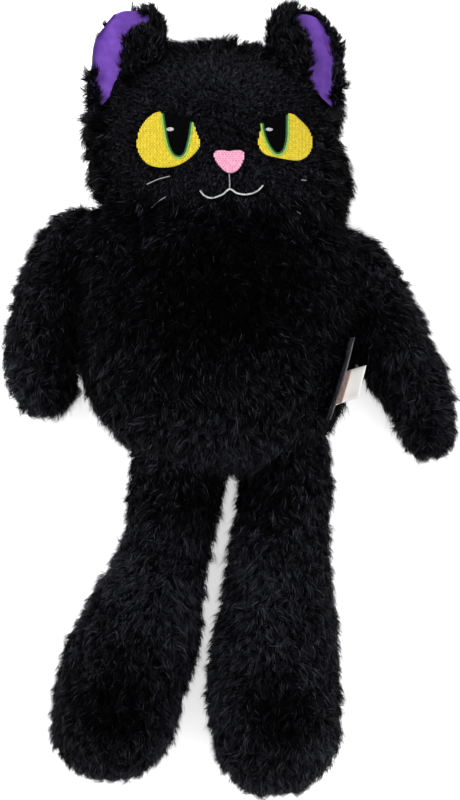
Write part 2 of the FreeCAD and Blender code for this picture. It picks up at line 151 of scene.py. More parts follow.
def waves(points, scale, seed):
    """A smooth random field between about -1 and 1."""
    draw = np.random.default_rng(seed)
    total = np.zeros(len(points))
    for _ in range(7):
        direction = unit(draw.normal(size=3))
        total += np.sin(points @ direction * (2 * math.pi / scale) * draw.uniform(0.6, 1.5)
                        + draw.uniform(0, 2 * math.pi))
    return total / 3.2


# ---------------------------------------------------------------- materials

def material(name, colour, roughness=0.7, sheen=0.0, sheen_colour=None, specular=0.5):
    made = bpy.data.materials.new(name)
    made.use_nodes = True
    shader = made.node_tree.nodes["Principled BSDF"]
    shader.inputs["Base Color"].default_value = (*colour, 1)
    shader.inputs["Roughness"].default_value = roughness
    shader.inputs["Sheen Weight"].default_value = sheen
    shader.inputs["Sheen Roughness"].default_value = 0.4
    shader.inputs["Sheen Tint"].default_value = (*(sheen_colour or colour), 1)
    shader.inputs["Specular IOR Level"].default_value = specular
    made.diffuse_color = (*colour, 1)
    return made


def node(made, kind, **inputs):
    """Adds a node; its inputs take values or other nodes' outputs."""
    added = made.node_tree.nodes.new(kind)
    for name, value in inputs.items():
        socket = added.inputs[name.replace("_", " ")]
        if isinstance(value, bpy.types.NodeSocket):
            made.node_tree.links.new(value, socket)
        else:
            socket.default_value = value
    return added


def object_place(made):
    return made.node_tree.nodes.new("ShaderNodeTexCoord").outputs["Object"]


def shader_of(made):
    return made.node_tree.nodes["Principled BSDF"]


def add_bump(made, height, strength, depth_mm):
    bump = node(made, "ShaderNodeBump", Strength=strength, Distance=depth_mm * MM, Height=height)
    made.node_tree.links.new(bump.outputs["Normal"], shader_of(made).inputs["Normal"])


def vary(made, value, socket, low, high):
    """Drives a shader socket with a 0 to 1 value between two limits."""
    ranged = node(made, "ShaderNodeMapRange", Value=value, To_Min=low, To_Max=high)
    made.node_tree.links.new(ranged.outputs["Result"], shader_of(made).inputs[socket])


def vary_colour(made, value, dark, light):
    ramp = node(made, "ShaderNodeValToRGB", Fac=value)
    ramp.color_ramp.elements[0].position = 0.3
    ramp.color_ramp.elements[0].color = (*dark, 1)
    ramp.color_ramp.elements[1].position = 0.7
    ramp.color_ramp.elements[1].color = (*light, 1)
    made.node_tree.links.new(ramp.outputs["Color"], shader_of(made).inputs["Base Color"])


def noise(made, scale, detail=3.0):
    return node(made, "ShaderNodeTexNoise", Vector=object_place(made), Scale=scale,
                Detail=detail).outputs["Fac"]


def backing_material():
    """Knitted backing of the plush, almost black, seen only between the tufts."""
    made = material("plush_backing", (0.001, 0.001, 0.0015), 0.95, 0.0, None, 0.02)
    add_bump(made, noise(made, 900, 2), 0.5, 0.3)
    vary_colour(made, noise(made, 400), (0.0005, 0.0005, 0.0007), (0.002, 0.002, 0.003))
    return made


def pile_material(index, grey, specular):
    """One grey of pile fibre: near black and a little blue, with a faint gloss. The greys are lit and
    shaded copies of one fibre: painted light and shade.
    """
    colour = (grey * 0.93, grey * 0.97, grey * 1.35)
    made = material(f"pile_{index}", colour, 0.5, 0.0, None, specular)
    vary(made, noise(made, 260), "Roughness", 0.36, 0.62)
    return made


def thread_material(name, dark, light, roughness=0.42, specular=0.4):
    """Satin thread: fine strands along it in two close shades."""
    made = material(name, light, roughness, 0.0, light, specular)
    vary_colour(made, noise(made, 700, 4), dark, light)
    vary(made, noise(made, 1500), "Roughness", roughness - 0.08, roughness + 0.15)
    return made


def minky_material():
    """Smooth purple lining with a very short brushed nap."""
    made = material("purple_minky", (0.15, 0.055, 0.39), 0.85, 0.35, (0.5, 0.3, 0.85), 0.2)
    vary_colour(made, noise(made, 160, 5), (0.115, 0.042, 0.31), (0.175, 0.07, 0.44))
    add_bump(made, noise(made, 2600, 3), 0.35, 0.25)
    return made


def satin_material():
    """White woven satin of the care label."""
    made = material("label_satin", (0.86, 0.85, 0.82), 0.35, 0.2, (1, 1, 1))
    wave = node(made, "ShaderNodeTexWave", Vector=object_place(made), Scale=520.0, Distortion=0.6)
    add_bump(made, wave.outputs["Fac"], 0.3, 0.08)
    vary_colour(made, wave.outputs["Fac"], (0.78, 0.77, 0.74), (0.9, 0.89, 0.87))
    return made


def card_material(name, dark, light):
    """Coated card of the side tag, a little paler in soft random patches."""
    made = material(name, dark, 0.22, 0.0, None, 0.6)
    vary_colour(made, noise(made, 120, 6), dark, light)
    vary(made, noise(made, 90, 6), "Roughness", 0.16, 0.36)
    add_bump(made, noise(made, 1400), 0.15, 0.05)
    return made


def seam_material():
    made = material("seam_thread", (0.01, 0.01, 0.013), 0.7, 0.2)
    wave = node(made, "ShaderNodeTexWave", Vector=object_place(made), Scale=420.0)
    add_bump(made, wave.outputs["Fac"], 0.6, 0.3)
    vary_colour(made, wave.outputs["Fac"], (0.006, 0.006, 0.008), (0.025, 0.025, 0.03))
    return made


BACKING = backing_material()
# Four greys of the same pile fibre, lit and shaded copies: the shade functions pick among them to paint
# light and shade, and the lightest are painted highlights for the glints.
PILE_LIT_AND_SHADED_GREYS = ((0.0006, 0.02), (0.0022, 0.05), (0.007, 0.1), (0.034, 0.2))
PILE = [pile_material(index, *shade) for index, shade in enumerate(PILE_LIT_AND_SHADED_GREYS)]
MINKY = minky_material()
# Satin threads come in pairs; the second, darker copy is painted shade for the crease between columns and
# stitches.
YELLOW = (
    thread_material("yellow_thread", (0.58, 0.44, 0.008), (0.76, 0.62, 0.03)),
    thread_material("yellow_painted_crease_shade", (0.4, 0.29, 0.003), (0.55, 0.42, 0.008), 0.6),
)
DARK_GREEN = thread_material("dark_green_thread", (0.003, 0.04, 0.006), (0.012, 0.1, 0.02))
LIGHT_GREEN = thread_material("light_green_thread", (0.14, 0.33, 0.04), (0.28, 0.5, 0.08))
BLACK_THREAD = (
    thread_material("black_thread", (0.0008, 0.0008, 0.001), (0.002, 0.002, 0.0025), 0.8, 0.03),
    thread_material("black_painted_crease_shade", (0.0004, 0.0004, 0.0005), (0.001, 0.001, 0.0012), 0.9, 0.02),
)
WHITE_THREAD = thread_material("white_thread", (0.42, 0.42, 0.43), (0.66, 0.66, 0.67))
GREY_THREAD = thread_material("grey_thread", (0.16, 0.16, 0.17), (0.34, 0.34, 0.35))
PINK = (
    thread_material("pink_thread", (0.74, 0.3, 0.45), (0.9, 0.45, 0.6)),
    thread_material("pink_painted_crease_shade", (0.5, 0.17, 0.28), (0.66, 0.27, 0.4), 0.6),
)
# A plum thread for the thin dark line round the nose: painted shadow.
PLUM_PAINTED_SHADOW = thread_material("plum_painted_shadow", (0.035, 0.01, 0.03), (0.08, 0.025, 0.06))
SATIN = satin_material()
LINER_TAPE = thread_material("label_liner", (0.3, 0.16, 0.14), (0.5, 0.33, 0.29), 0.6)
CARD = card_material("tag_card", (0.02, 0.02, 0.024), (0.085, 0.085, 0.095))
SEAM = seam_material()


# ---------------------------------------------------------------- stuffed skins

# Each stuffed piece is a union of balls joined in chains: (x, y, z, radius).
RIGHT_LEG = [
    (-22, -64, 31, 24), (-23.8, -84, 30, 23.6), (-26, -98, 30, 22.2), (-29.8, -116, 30, 22.3),
    (-36.4, -139, 31, 25.3), (-43, -157, 33, 29.6), (-49, -176, 35, 32), (-56, -197, 36, 33.4),
    (-60.5, -213, 36, 31.8),
]
LEFT_LEG = [
    (37, -64, 31, 24), (38, -82, 30, 23.4), (36.3, -98, 30, 23.2), (34.8, -116, 30, 25.5),
    (34, -139, 31, 27.2), (33, -157, 33, 30), (32.2, -176, 35, 32.6), (31, -199, 36, 34.5),
    (32, -220, 36, 32.6),
]
RIGHT_ARM = [
    (-78.5, 55, 26, 20.5), (-89.5, 35, 24, 21.8), (-96.5, 14, 22, 20.6), (-101, -8, 20, 18.8),
    (-99.5, -23, 19, 16),
]
LEFT_ARM = [
    (74.5, 45, 25, 17.5), (87.5, 27, 24, 18.3), (97.8, 3, 22, 19.4), (107.2, -16, 20.5, 18),
    (115.5, -32, 19.5, 15.6), (119.5, -48.5, 18.5, 14),
]
SHOULDERS = [
    [(-60, 50, 34, 25), (-44, 22, 40, 34)],
    [(55, 47, 34, 24), (43, 22, 38, 33), (46, -4, 38, 29.5), (37, -27, 38, 31)],
    [(-54, 53, 40, 26), (0, 48, 44, 31), (50, 51, 40, 25)],
]
SKIN_VOXEL = 3.0
BALLS_PER_SPAN = 6
CUSHION_RINGS = 48
# Below this height a skin is pressed flat, the more the lower it is.
PRESSED_HEIGHT = 6
PRESS_POWER = 1.6
# The ball that fills the head's left jaw, and the dent in its left side at the eyes' height.
JAW = (43, 80, 42, 26)
TEMPLE_Y = 116
TEMPLE_SPREAD = 12
TEMPLE_DENT = 0.085
HEAD_LEFT_EDGE = 67


def ball_chain(mesh, balls):
    """Adds balls to a bmesh, close enough along their smooth path to fuse into a tube."""
    path = smooth_curve([ball[:3] for ball in balls], BALLS_PER_SPAN)
    radii = smooth_curve([(ball[3], 0, 0) for ball in balls], BALLS_PER_SPAN)[:, 0]
    for centre, radius in zip(path, radii):
        made = bmesh.ops.create_icosphere(mesh, subdivisions=3, radius=radius * MM)
        for vertex in made["verts"]:
            vertex.co += Vector(centre) * MM


def cushion(mesh, centre, half, power, low_power, power_up, shear=0.0):
    """Adds a superellipsoid, squarer as its powers rise; its lower edge has its own power."""
    made = bmesh.ops.create_uvsphere(
        mesh, u_segments=2 * CUSHION_RINGS, v_segments=CUSHION_RINGS, radius=1)
    for vertex in made["verts"]:
        x, y, z = vertex.co
        edge = power if y > 0 else low_power
        flat = (abs(x) ** edge + abs(y) ** edge) ** (1 / edge)
        flat = (flat ** power_up + abs(z) ** power_up) ** (1 / power_up)
        vertex.co = Vector((x / flat * half[0], y / flat * half[1], z / flat * half[2])) * MM
        vertex.co.x += shear * vertex.co.y
        vertex.co += Vector(centre) * MM


def skin(name, body, replaced, build, lumps, seed):
    """A stuffed skin: shapes fused, smoothed, softly lumpy and flat where it rests."""
    mesh = bpy.data.meshes.new(name)
    shape = bmesh.new()
    build(shape)
    shape.to_mesh(mesh)
    shape.free()
    obj = bpy.data.objects.new(name, mesh)
    bpy.context.scene.collection.objects.link(obj)
    remesh = obj.modifiers.new("fuse", "REMESH")
    remesh.mode = "VOXEL"
    remesh.voxel_size = SKIN_VOXEL * MM
    relax = obj.modifiers.new("relax", "SMOOTH")
    relax.factor = 0.6
    relax.iterations = 8
    graph = bpy.context.evaluated_depsgraph_get()
    baked = bpy.data.meshes.new_from_object(obj.evaluated_get(graph))
    obj.modifiers.clear()
    obj.data = baked
    baked.name = name
    points = vertex_array(obj)
    normals = normal_array(obj)
    points += normals * (waves(points, 34, seed) * lumps)[:, None]
    low = points[:, 2] < PRESSED_HEIGHT
    above = np.maximum(points[low, 2] - FLOOR_GAP, 0)
    pressed = PRESSED_HEIGHT - FLOOR_GAP
    points[low, 2] = FLOOR_GAP + above ** PRESS_POWER / pressed ** (PRESS_POWER - 1)
    points[:, 2] = np.maximum(points[:, 2], FLOOR_GAP)
    baked.vertices.foreach_set("co", (points * MM).astype(np.float32).ravel())
    baked.polygons.foreach_set("use_smooth", np.ones(len(baked.polygons), bool))
    baked.update()
    baked.materials.append(BACKING)
    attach(obj, body)
    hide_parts(*replaced)
    return obj


def panels(piece):
    """The CAD nodes of a stuffed piece: its two panels and its filling."""
    return [f"{piece}_front_panel", f"{piece}_back_panel", f"{piece}_stuffing"]


def build_torso(shape):
    """A round cushion that widens into the shoulders."""
    cushion(shape, (-2, 0, 43), (73, 70, 42), 2.15, 2.1, 2.2)
    for chain in SHOULDERS:
        ball_chain(shape, chain)


def build_head(shape):
    """A wide cushion, dented at the left temple and fuller at the left jaw."""
    cushion(shape, (-1.5, 119, 46), (68.5, 47, 45), 2.7, 6.5, 2.15, -0.09)
    for vertex in shape.verts:
        x, y = vertex.co.x / MM, vertex.co.y / MM
        if x > 0:
            near = math.exp(-((y - TEMPLE_Y) / TEMPLE_SPREAD) ** 2)
            vertex.co.x *= 1 - TEMPLE_DENT * (x / HEAD_LEFT_EDGE) ** 2 * near
    ball_chain(shape, [JAW])


GUSSETS = ["right_shoulder_gusset", "left_shoulder_gusset"]
TORSO = skin("torso_skin", "torso", panels("torso") + GUSSETS, build_torso, 0.9, 11)
HEAD = skin("head_skin", "head", panels("head") + ["neck_stuffing"], build_head, 0.5, 12)
LIMBS = {
    "right_arm": (RIGHT_ARM, 13),
    "left_arm": (LEFT_ARM, 14),
    "right_leg": (RIGHT_LEG, 15),
    "left_leg": (LEFT_LEG, 16),
}


def build_limb(chain):
    """A function that builds a limb from its chain of balls."""
    return lambda shape: ball_chain(shape, chain)


LIMB_SKINS = {
    limb: skin(f"{limb}_skin", limb, panels(limb), build_limb(chain), 0.8, seed)
    for limb, (chain, seed) in LIMBS.items()
}


# ---------------------------------------------------------------- the face's outlines

EYE_OUTLINES = {
    "right": [
        (-45.1, 110.2), (-42.9, 103.8), (-38.1, 99.1), (-30.2, 97.6), (-22.2, 98.9), (-14.9, 103.4),
        (-10.1, 109.7), (-11.7, 116), (-15.9, 123.9), (-31.2, 128.4), (-38.3, 125.7), (-43.5, 118.9),
    ],
    "left": [
        (22.3, 109.9), (26, 104.8), (35, 102.7), (44.5, 101.9), (50.1, 105.4), (52.5, 112.1),
        (50.5, 119.3), (45.1, 124.9), (39.1, 127.9), (25.4, 123.6), (23.1, 117.1),
    ],
}
PUPILS = {
    "right": [
        (-30.5, 129.2), (-29.2, 120.4), (-27.5, 111.2), (-24.9, 105.6), (-21.6, 103.8), (-18.8, 105.8),
        (-16.7, 112.6), (-15.4, 120.4), (-14.9, 125.3),
    ],
    "left": [
        (24.4, 124.7), (25.8, 116.5), (28.7, 109.5), (32.5, 105.6), (35.8, 107.6), (37.5, 113.8),
        (37.7, 120.9), (37.9, 128.7),
    ],
}
# Each glint's centre and its half width and height.
GLINTS = {"right": (-26.6, 118.6, 2.1, 1.1), "left": (28.1, 118.6, 2, 0.95)}
NOSE = [
    (-2.3, 104.5), (-1, 106.6), (2.7, 106.9), (6, 106.4), (9.5, 106.9), (13, 106.6), (14.5, 104.2),
    (13, 99.4), (10.4, 95.9), (7.1, 94.6), (3.8, 95.5), (0.8, 98.3), (-1.4, 101.2),
]
MOUTH = [
    (-10.2, 85.5), (-7.7, 82.7), (-3.5, 81.5), (2.3, 83.3), (6.3, 86), (10.5, 83.9), (15.7, 83.3),
    (21.3, 84.9), (25, 88.2),
]
STEM = [(6, 94.4), (6.3, 90.1), (6.3, 86)]
WHISKERS = {
    "right": [[(-37.7, 76.3), (-33.6, 79.6), (-29.2, 82)], [(-39.9, 88.6), (-33, 91.4), (-26.6, 93)]],
    "left": [[(43.6, 74.6), (46.6, 72.6)], [(46, 91.2), (49, 90.9)]],
}
EYE_CURVES = {side: smooth_curve(points, 10, True) for side, points in EYE_OUTLINES.items()}
PUPIL_CURVES = {side: smooth_curve(points, 8) for side, points in PUPILS.items()}
NOSE_CURVE = smooth_curve(NOSE, 8, True)
MOUTH_LINES = [smooth_curve(MOUTH, 10), smooth_curve(STEM, 8)]
WHISKER_LINES = {
    side: [smooth_curve(line, 10) for line in lines] for side, lines in WHISKERS.items()
}
RIM_WIDTH = 1.8

# Where each ear's lining shows from the front.
EAR_OPENINGS = {
    "right": smooth_curve([
        (-66, 134), (-71.3, 153), (-67, 175), (-53, 189), (-45, 184), (-50, 170), (-57, 160), (-57, 150),
    ], 6, True),
    "left": smooth_curve([
        (62.5, 133), (67.4, 149), (63.5, 176), (55, 186), (48, 184), (49.5, 166), (52, 156), (56, 146),
    ], 6, True),
}
# Pile within this distance of a line of stitches counts as under it.
MOUTH_CLEAR = 0.9
WHISKER_CLEAR = 0.1
# Only the pile above this height is on the front of the head.
FRONT_HEIGHT = 50
# The pile is cut away within the first gap of the stitches. The whiskers count as the second
# gap away, so that they stay half buried in it.
BARE_GAP = 0.05
WHISKER_GAP = 0.3
EAR_CLEAR_HEIGHT = 44
FAR = 99.0


def face_clear(points):
    """How far each point on the front of the head is from the embroidery: 0 inside it."""
    x, y = points[:, 0], points[:, 1]
    gap = np.full(len(points), FAR)
    for outline in (*EYE_CURVES.values(), NOSE_CURVE):
        gap = np.minimum(gap, outside(outline, x, y))
    for line in MOUTH_LINES:
        gap = np.minimum(gap, np.maximum(distance(line, x, y, False) - MOUTH_CLEAR, 0))
    for lines in WHISKER_LINES.values():
        for line in lines:
            beside = np.maximum(distance(line, x, y, False) - WHISKER_CLEAR, 0)
            gap = np.minimum(gap, beside + WHISKER_GAP)
    return np.where(points[:, 2] > FRONT_HEIGHT, gap, FAR)


# ---------------------------------------------------------------- pile

# The most triangles in one piece of pile.
MOST_TRIANGLES = 190000
TRIANGLES_PER_FIBRE = 3
FIBRE_SEED = 40
# Pile trimmed shorter than this share of its length isn't made.
LEAST_TRIM = 0.12
# How far a fibre's upper half bends over, in radians, and how deep its root goes.
BEND = 0.75
ROOT_DEPTH = 0.8
# The mean shade slot, and how far single fibres stray from their tuft's: random tone, and the lightest of
# them are painted highlights standing in for the pile's glints.
MIDDLE_SHADE = 1.5
SHADE_SPREAD = 1.05
LOWEST_TIP = 0.3


def sample_surface(obj, density, draw):
    """Even random places on a skin: points, normals, in millimetres."""
    points = vertex_array(obj)
    normals = normal_array(obj)
    obj.data.calc_loop_triangles()
    flat = np.empty(len(obj.data.loop_triangles) * 3, np.int32)
    obj.data.loop_triangles.foreach_get("vertices", flat)
    tris = flat.reshape(-1, 3)
    a, b, c = (points[tris[:, k]] for k in range(3))
    areas = np.linalg.norm(np.cross(b - a, c - a), axis=1) / 2
    count = int(areas.sum() * density)
    # Stratified along the running area, so that the places are spread evenly.
    marks = (np.arange(count) + draw.uniform(0, 1, count)) / count * areas.sum()
    chosen = tris[np.minimum(np.searchsorted(np.cumsum(areas), marks), len(tris) - 1)]
    u = np.sqrt(draw.uniform(0, 1, count))
    v = draw.uniform(0, 1, count)
    weights = np.stack([1 - u, u * (1 - v), u * v], 1)
    places = np.einsum("nk,nkd->nd", weights, points[chosen])
    across = unit(np.einsum("nk,nkd->nd", weights, normals[chosen]))
    return places, across


def tangent(vectors, normals):
    """The part of each vector that lies in the surface."""
    return unit(vectors - np.sum(vectors * normals, axis=1, keepdims=True) * normals)


def clumps(roots, share, draw):
    """For each root, the index of the nearest of a few roots chosen as clump centres."""
    centres = draw.choice(len(roots), max(int(len(roots) * share), 1), replace=False)
    tree = KDTree(len(centres))
    for centre in centres:
        tree.insert(roots[centre], int(centre))
    tree.balance()
    return np.array([tree.find(root)[1] for root in roots])


def lean_over(normals, flow, angle):
    """The direction that leans from the normal towards the flow by an angle."""
    return unit(normals * np.cos(angle)[:, None] + flow * np.sin(angle)[:, None])


def grow(name, body, skin_obj, density, fibres, length, lean, comb, shade, seed, spread=1.9,
         width=0.35, ruffle=0.6, trim=None, share=0.18):
    """Covers a skin with clumps of tufts of curved, tapering fibres.

    comb, shade and trim take places on the skin, and give the way the pile lies there, how light it is
    and the share of its length that is left. On most pieces shade paints light and shade onto the pile by
    the grey each fibre takes."""
    draw = np.random.default_rng(FIBRE_SEED + seed)
    roots, normals = sample_surface(skin_obj, density, draw)
    factor = np.ones(len(roots)) if trim is None else trim(roots)
    keep = factor > LEAST_TRIM
    roots, normals, factor = roots[keep], normals[keep], factor[keep]
    count = len(roots)
    clump = clumps(roots, share, draw)
    flow = tangent(comb(roots) + draw.normal(0, ruffle, (count, 3)), normals)
    flow = tangent(flow * 0.45 + flow[clump], normals)
    swirl = waves(roots, 26, seed + 5) * 0.5 + draw.normal(0, ruffle, count)[clump]
    flow = tangent(flow + np.cross(normals, flow) * swirl[:, None], normals)
    uneven = draw.uniform(0.6, 1.45, count)[clump] * draw.uniform(0.8, 1.1, count)
    tall = length * uneven * factor
    tilt = lean + draw.normal(0, 0.22, count)[clump] + draw.normal(0, 0.1, count)
    rise = lean_over(normals, flow, tilt)
    bend = lean_over(normals, flow, tilt + BEND)
    pull = (roots[clump] - roots) * 0.6
    tone = shade(roots) + draw.normal(0, 0.3, count)[clump] + draw.normal(0, 0.35, count)
    tuft = np.repeat(np.arange(count), fibres)
    total = len(tuft)
    side = unit(np.cross(normals, flow))
    angle = draw.uniform(0, 2 * math.pi, total)
    reach = spread * np.sqrt(draw.uniform(0, 1, total))
    offset = flow[tuft] * (np.cos(angle) * reach)[:, None]
    offset += side[tuft] * (np.sin(angle) * reach)[:, None]
    size = tall[tuft] * draw.uniform(0.6, 1.08, total)
    jitter = draw.normal(0, 0.24, (total, 3))
    base = roots[tuft] + offset - normals[tuft] * ROOT_DEPTH
    middle = roots[tuft] + offset * 0.8 + pull[tuft] * 0.4
    middle += (rise[tuft] + jitter * 0.5) * (size * 0.52)[:, None]
    tip = roots[tuft] + offset * 0.35 + pull[tuft] + rise[tuft] * (size * 0.5)[:, None]
    tip += (bend[tuft] + jitter) * (size * 0.5)[:, None]
    facing = unit(draw.normal(size=(total, 3)))
    blade = unit(np.cross(tip - base, facing))
    blade *= (width / 2 * draw.uniform(0.7, 1.3, total))[:, None]
    narrow = blade * 0.85
    points = np.stack([base - blade, base + blade, middle + narrow, middle - narrow, tip], 1)
    points[:, :, 2] = np.maximum(points[:, :, 2], LOWEST_TIP)
    # Each fibre's grey: painted light and shade from the shade function, and random tone.
    light = MIDDLE_SHADE + tone[tuft] + draw.normal(0, SHADE_SPREAD, total)
    shade_slot = np.clip(np.round(light), 0, len(PILE) - 1).astype(int)
    per_piece = MOST_TRIANGLES // TRIANGLES_PER_FIBRE
    for part, start in enumerate(range(0, total, per_piece)):
        block = points[start:start + per_piece]
        number = len(block)
        first = np.arange(number)[:, None] * 5
        corners = (first + np.array([[0, 1, 2, 3, 3, 2, 4]])).ravel()
        sizes = np.tile([4, 3], number)
        slots = np.repeat(shade_slot[start:start + per_piece], 2)
        obj = fast_object(f"{name}_{part + 1}", block.reshape(-1, 3), corners, sizes, PILE, slots)
        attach(obj, body)


def down(points):
    """Pile combed towards the feet and a little outwards."""
    flow = np.tile([0.0, -1.0, -0.12], (len(points), 1))
    flow[:, 0] = points[:, 0] * 0.006
    return flow


def along(chain):
    """Pile combed down a limb."""
    direction = unit(np.array(chain[-1][:3], float) - np.array(chain[0][:3], float))
    centre = np.array(chain[-1][:3], float)

    def comb(points):
        ends = unit(points - centre) * np.array([1, 1, 0.4])
        near = np.clip(1 - np.linalg.norm(points - centre, axis=1) / 60, 0, 1)[:, None]
        return direction * (1 - near * 0.4) + ends * near * 0.5

    return comb


def head_comb(points):
    """Pile combed up and outwards on the forehead, down over the cheeks."""
    from_nose = points - np.array([4.0, 112.0, 90.0])
    flow = from_nose * np.array([0.8, 0.35, 0.0])
    flow[:, 1] -= 14
    flow[:, 2] -= 12
    return flow


def bump_at(points, x, y, wide, tall):
    """A soft spot: 1 at its centre, fading over the given widths."""
    return np.exp(-((points[:, 0] - x) / wide) ** 2 - ((points[:, 1] - y) / tall) ** 2)


def torso_painted_light(points):
    """Painted light: painted shade darkest in the middle of the chest and in the folds beside the arms, a
    painted sheen on the lower belly, and random tone.
    """
    chest = bump_at(points, 0, 28, 46, 50)
    belly = bump_at(points, -4, -50, 46, 20)
    folds = bump_at(points, -80, 8, 9, 50) + bump_at(points, 79, 10, 9, 50)
    return -0.45 - 1.5 * chest + 0.6 * belly - 1.6 * folds + waves(points, 60, 3) * 0.35


def torso_trim(points):
    """Shorter where the label and the tag lie on the pile."""
    x, y, z = points.T
    beside = (x > 54) & (z > 43) & (y > -36) & (y < -11)
    under = (x > 50) & (z > 46) & (y > -44) & (y < 6)
    return np.where(beside, 0.3, np.where(under, 0.6, 1.0))


def leg_painted_light(foot):
    """Painted light: a painted sheen on the shaft and round the foot's edge, painted shade at the root
    and mid foot, and random tone.
    """
    def shade(points):
        middle = bump_at(points, foot[0], foot[1] + 14, 20, 25)
        root = bump_at(points, foot[0] / 2, -84, 60, 22)
        return 0.3 - 2.1 * middle - 1.3 * root + waves(points, 50, 21) * 0.45
    return shade


def arm_painted_light(chain):
    """Painted light: a painted sheen on the outer side of the lower arm, painted shade where it folds
    against the torso, and random tone.
    """
    def shade(points):
        outward = np.sign(chain[0][0])
        axis = np.interp(points[:, 1], *zip(*sorted((ball[1], ball[0]) for ball in chain)))
        out = np.clip((points[:, 0] - axis) * outward / 14, -1, 1)
        low = np.clip((40 - points[:, 1]) / 50, 0, 1)
        return -0.85 + 0.5 * out + 0.6 * low + waves(points, 45, 33) * 0.35
    return shade


def head_painted_light(points):
    """Painted light: lighter on the front of the head with a painted sheen on the forehead and chin, and
    painted shade at the cheeks.
    """
    front = np.clip((points[:, 2] - FRONT_HEIGHT) / 30, 0, 1)
    forehead = bump_at(points, -2, 146, 44, 20)
    chin = bump_at(points, 0, 95, 40, 14)
    return -1.6 + front * (1.3 + 0.75 * forehead + 0.35 * chin)


def on_face(points):
    """How far a place is inside the short-haired face: 1 well inside, 0 outside."""
    front = np.clip((points[:, 2] - 56) / 22, 0, 1)
    across = np.clip((66 - np.abs(points[:, 0] + 2)) / 12, 0, 1)
    below = np.clip((points[:, 1] - 76) / 10, 0, 1)
    return front * across * below


def head_trim(points):
    """Cut away over the embroidery, and short beside it and under the ears' openings."""
    gap = face_clear(points)
    near_ear = np.full(len(points), FAR)
    for outline in EAR_OPENINGS.values():
        near_ear = np.minimum(near_ear, outside(outline, points[:, 0], points[:, 1]))
    ears = np.where(points[:, 2] > EAR_CLEAR_HEIGHT, np.clip(0.1 + near_ear / 7, 0, 1), 1)
    return np.where(gap <= BARE_GAP, 0, np.clip(0.6 + gap / 8, 0, 1)) * ears


def cheek_trim(points):
    return head_trim(points) * (1 - on_face(points))


def face_trim(points):
    return head_trim(points) * on_face(points) ** 0.3


# Tufts on a square millimetre, fibres in a tuft, and the pile's lengths and lean in radians.
BODY_DENSITY = 0.36
FACE_DENSITY = 1.5
FIBRES = 12
FACE_FIBRES = 10
BODY_LENGTH = 7.6
CHEEK_LENGTH = 9.5
FACE_LENGTH = 3.0
BODY_LEAN = 0.6
BODY_STYLE = {"width": 0.3, "ruffle": 0.4, "share": 0.4}

grow("torso_pile", "torso", TORSO, BODY_DENSITY, FIBRES, BODY_LENGTH, BODY_LEAN, down, torso_painted_light, 1,
     trim=torso_trim, **BODY_STYLE)
grow("head_side_pile", "head", HEAD, BODY_DENSITY, FIBRES, CHEEK_LENGTH, 0.45, head_comb, head_painted_light, 2,
     trim=cheek_trim, share=0.09)
grow("face_pile", "head", HEAD, FACE_DENSITY, FACE_FIBRES, FACE_LENGTH, 0.35, head_comb, head_painted_light, 8,
     spread=0.9, width=0.22, ruffle=1.2, trim=face_trim, share=0.7)
for number, (limb, (chain, _)) in enumerate(LIMBS.items()):
    limb_painted_light = leg_painted_light(chain[-1]) if "leg" in limb else arm_painted_light(chain)
    grow(f"{limb}_pile", limb, LIMB_SKINS[limb], BODY_DENSITY, FIBRES, BODY_LENGTH, BODY_LEAN,
         along(chain), limb_painted_light, 3 + number, **BODY_STYLE)


# ---------------------------------------------------------------- embroidery

def surface_of(obj):
    """A function that gives the height of an object's upper surface at a place."""
    tree = BVHTree.FromObject(obj, bpy.context.evaluated_depsgraph_get())

    def height(x, y):
        hit = tree.ray_cast(Vector((x * MM, y * MM, 0.5)), Vector((0, 0, -1)))[0]
        return (hit or Vector()).z / MM

    return height


face_height = surface_of(HEAD)
COLUMN = 0.8
GLINT_COLUMN = 0.5
STITCH_LENGTH = 2.2
STITCH_SWELL = 0.3
STITCH_ROW = 0.25
MASK_STEP = 0.12
EDGE_DEPTH = 0.6


